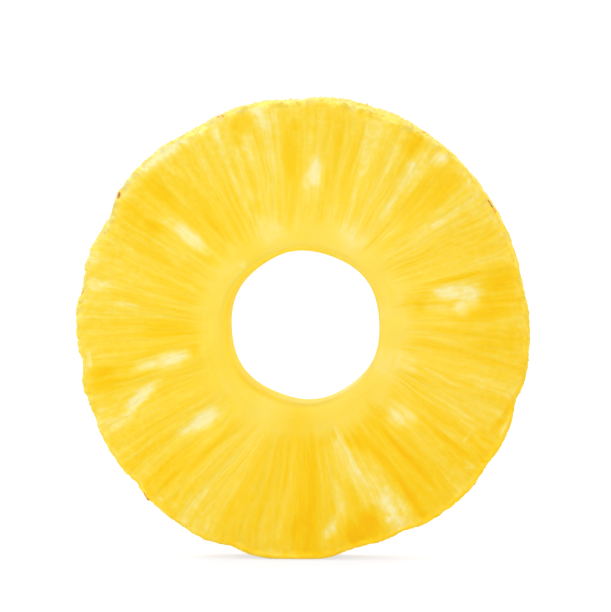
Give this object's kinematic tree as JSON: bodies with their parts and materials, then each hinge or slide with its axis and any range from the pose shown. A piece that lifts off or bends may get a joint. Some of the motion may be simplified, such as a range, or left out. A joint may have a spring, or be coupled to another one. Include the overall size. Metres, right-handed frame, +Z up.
{
  "type": "pineapple ring",
  "caption": "Fresh pineapple slice with its skin cut away and its core taken out, standing upright on a small flat of its rim, with a round hole right through.",
  "frame": {"origin": "middle of the ring's box at its base, on the small flat that it stands on", "axes": "+Z up, +X to the right of someone who faces the front of the ring, and +Y from its front face to its back face, along the axis of the hole"},
  "size_m": [0.0952, 0.0136, 0.0965],
  "materials": {
    "flesh": "wet, translucent yellow fruit flesh with fine fibres",
    "eye_skin": "dry brown shreds of skin left in the deepest eyes"
  },
  "bodies": {
    "root": {"ring_flesh": "flesh"}
  },
  "joints": []
}
